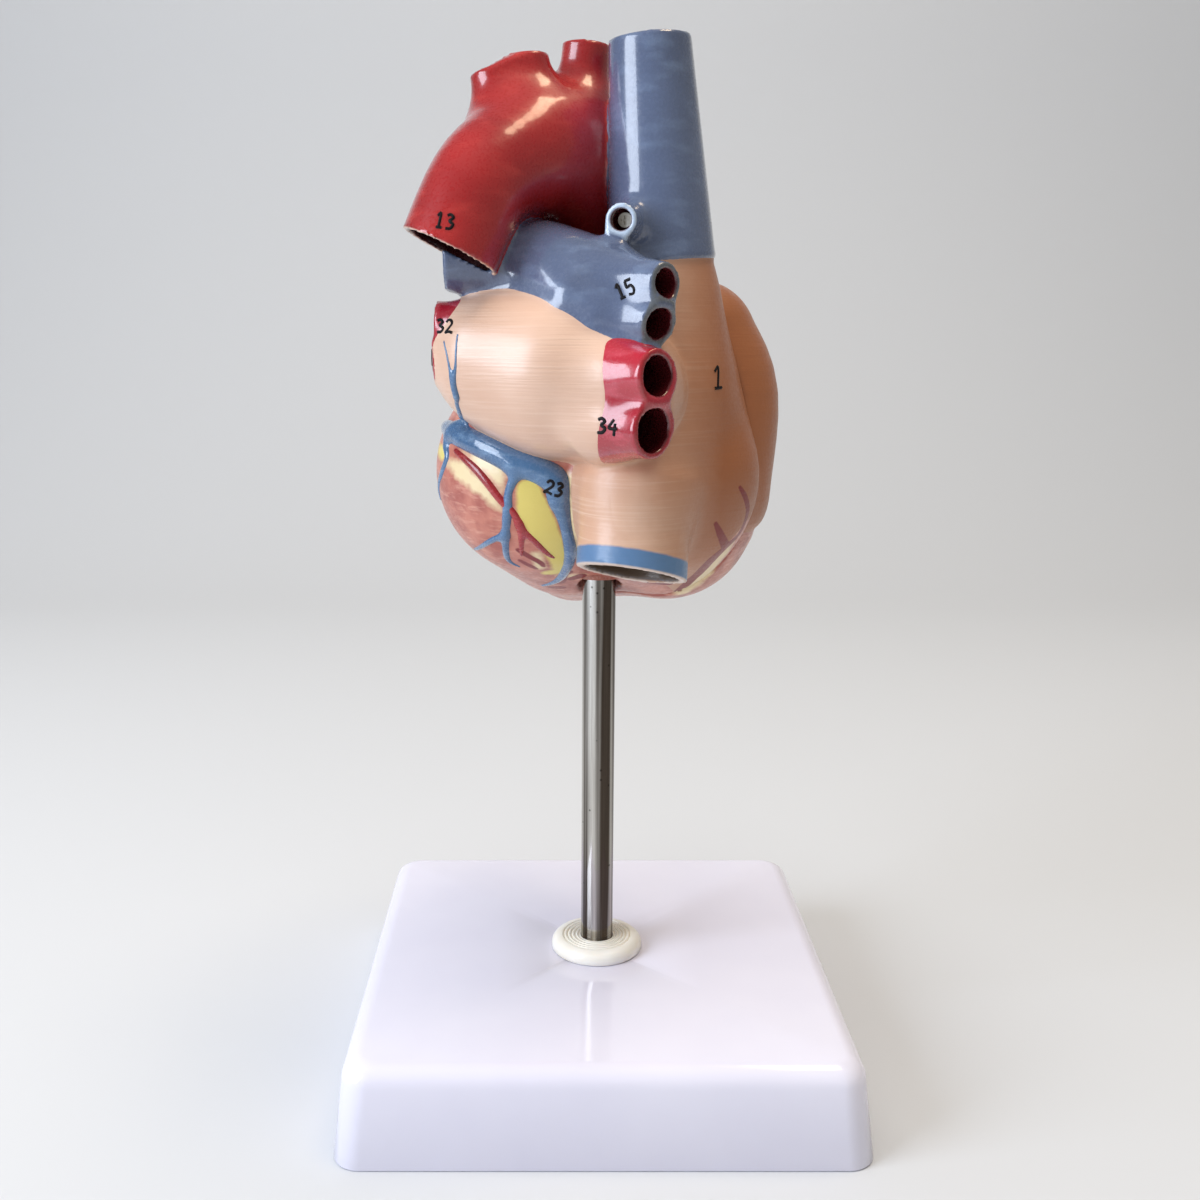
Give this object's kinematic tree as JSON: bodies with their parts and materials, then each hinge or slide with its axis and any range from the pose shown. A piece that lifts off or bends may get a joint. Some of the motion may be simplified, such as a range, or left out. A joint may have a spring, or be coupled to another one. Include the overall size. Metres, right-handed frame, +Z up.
{
  "type": "human heart anatomy model",
  "caption": "Life-size human heart model on a square base and steel rod: it turns and lifts off the rod, and its front wall pulls off to show the chambers and valves.",
  "frame": {"origin": "centre of the base's foot, on the table and on the rod's axis", "axes": "+Z up along the rod; -Y towards the viewer, the side that shows the back of the heart; +X to the viewer's right. The heart is turned 25 degrees on the rod so that the patient's right side comes towards the viewer."},
  "size_m": [0.14, 0.14, 0.2834],
  "materials": {
    "base_plastic": "polished white moulding",
    "collar_plastic": "cream, turned rings",
    "rod_steel": "drawn and polished, scuffed",
    "fastener_steel": "zinc plated",
    "magnet_plating": "nickel plated",
    "muscle_paint": "hand painted salmon, with yellow fat",
    "atrium_paint": "hand painted beige, satin varnish",
    "artery_paint": "hand painted deep red, varnished",
    "vein_red_paint": "hand painted bright red, varnished",
    "vessel_blue_paint": "hand painted slate blue, varnished",
    "sinus_blue_paint": "hand painted blue, varnished",
    "leaflet_paint": "hand painted cream"
  },
  "bodies": {
    "stand": {"base_shell": "base_plastic", "collar_ring": "collar_plastic", "support_rod": "rod_steel", "rod_washer": "fastener_steel", "rod_nut": "fastener_steel"},
    "sleeve": {"rod_socket": "fastener_steel"},
    "heart": {"socket_boss": "muscle_paint", "heart_back": "muscle_paint", "left_atrium": "atrium_paint", "right_atrium": "atrium_paint", "left_auricle": "atrium_paint", "aorta_arch": "artery_paint", "pulmonary_trunk": "vessel_blue_paint", "superior_vena_cava": "vessel_blue_paint", "azygos_screw": "fastener_steel", "inferior_vena_cava": "atrium_paint", "right_pulmonary_veins": "vein_red_paint", "left_pulmonary_veins": "vein_red_paint", "coronary_sinus": "sinus_blue_paint", "back_coronary_arteries": "artery_paint", "mitral_valve": "leaflet_paint", "tricuspid_valve": "leaflet_paint", "aortic_valve": "leaflet_paint", "pulmonary_valve": "leaflet_paint", "papillary_muscles": "muscle_paint", "locating_pins": "fastener_steel", "back_magnets": "magnet_plating"},
    "front": {"front_wall": "muscle_paint", "right_auricle": "atrium_paint", "front_coronary_arteries": "artery_paint", "front_coronary_veins": "sinus_blue_paint", "front_magnets": "magnet_plating"}
  },
  "joints": [
    {"name": "heart_lift", "type": "slide", "parent": "stand", "child": "sleeve", "axis": [0, 0, 1], "range_m": [0, 0.045]},
    {"name": "heart_turn", "type": "hinge", "parent": "sleeve", "child": "heart", "pos_m": [0, 0, 0.155], "axis": [0, 0, 1], "continuous": true},
    {"name": "front_wall_pull", "type": "slide", "parent": "heart", "child": "front", "axis": [0.4226, 0.9063, 0], "range_m": [0, 0.08]}
  ]
}
